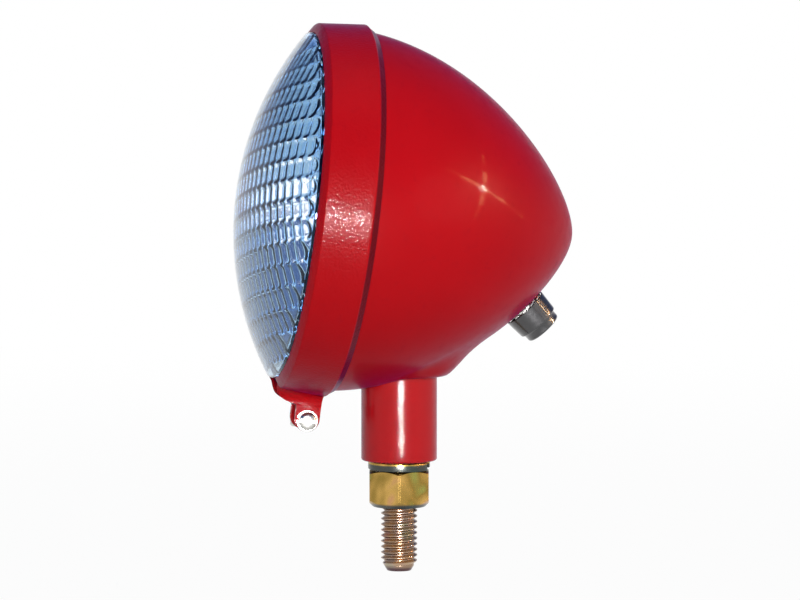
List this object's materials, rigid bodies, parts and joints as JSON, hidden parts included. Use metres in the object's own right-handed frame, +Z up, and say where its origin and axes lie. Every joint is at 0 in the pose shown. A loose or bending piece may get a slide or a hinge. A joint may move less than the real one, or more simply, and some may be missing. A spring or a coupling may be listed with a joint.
{
  "type": "halogen headlamp",
  "caption": "Round halogen headlamp: teardrop sheet-metal shell on a threaded post, clamp rim, domed fluted lens, reflector, bulb and cable gland.",
  "frame": {"origin": "on the axis of the mounting stud, half way down its bare thread", "axes": "+Z up the stud and the post; the lamp shines towards -Y, aimed 6.8 degrees up; +X is the side of the clamp screw's head"},
  "size_m": [0.1294, 0.1183, 0.1903],
  "materials": {
    "paint": "gloss red enamel",
    "yellow_zinc": "yellow chromate over zinc, iridescent",
    "bright_zinc": "bright zinc plate",
    "spring_steel": "bare spring wire",
    "black_plastic": "moulded, glossy",
    "terminal_plastic": "moulded, matt",
    "lens_glass": "pressed, fluted on the inside",
    "bulb_glass": "clear",
    "rubber": "matt",
    "reflector_silver": "vacuum-metallised",
    "tungsten": "bare wire"
  },
  "bodies": {
    "housing": {"shell": "paint", "mount_post": "paint", "mount_bolt": "yellow_zinc", "saddle_washer": "bright_zinc", "gland_body": "black_plastic", "gland_washer": "bright_zinc", "gland_nut": "bright_zinc"},
    "washer": {"lock_washer": "yellow_zinc"},
    "nut": {"mount_nut": "yellow_zinc"},
    "front": {"clamp_rim": "paint", "clamp_washer": "bright_zinc", "lens": "lens_glass", "lens_gasket": "rubber", "reflector": "reflector_silver", "bulb_holder": "bright_zinc", "bulb_base": "bright_zinc", "bulb_capsule": "bulb_glass", "bulb_filament": "tungsten", "bulb_lead": "black_plastic", "bulb_terminal": "terminal_plastic"},
    "clip": {"bulb_clip": "spring_steel"},
    "clamp_screw": {"clamp_screw": "bright_zinc"},
    "clamp_nut": {"clamp_nut": "bright_zinc"}
  },
  "joints": [
    {"name": "washer_travel", "type": "slide", "parent": "housing", "child": "washer", "axis": [0, 0, -1], "range_m": [0, 0.0353]},
    {"name": "nut_turn", "type": "hinge", "parent": "washer", "child": "nut", "pos_m": [0, 0, 0.0158], "axis": [0, 0, -1], "range_deg": [0, 6480]},
    {"name": "front_off", "type": "slide", "parent": "housing", "child": "front", "axis": [0, -0.993, 0.1184], "range_m": [0, 0.085]},
    {"name": "clip_swing", "type": "hinge", "parent": "front", "child": "clip", "pos_m": [0, 0.01027, 0.12605], "axis": [1, 0, 0], "range_deg": [0, 110]},
    {"name": "clamp_screw_turn", "type": "hinge", "parent": "front", "child": "clamp_screw", "pos_m": [0, -0.03329, 0.04042], "axis": [1, 0, 0], "range_deg": [0, 2880]},
    {"name": "clamp_nut_travel", "type": "slide", "parent": "front", "child": "clamp_nut", "axis": [-1, 0, 0], "range_m": [0, 0.00846]}
  ],
  "couplings": [
    {"joint": "washer_travel", "follows": "nut_turn", "m_per_rad": 0.00031099},
    {"joint": "clamp_screw_turn", "follows": "clamp_nut_travel", "rad_per_m": 5938.7}
  ]
}
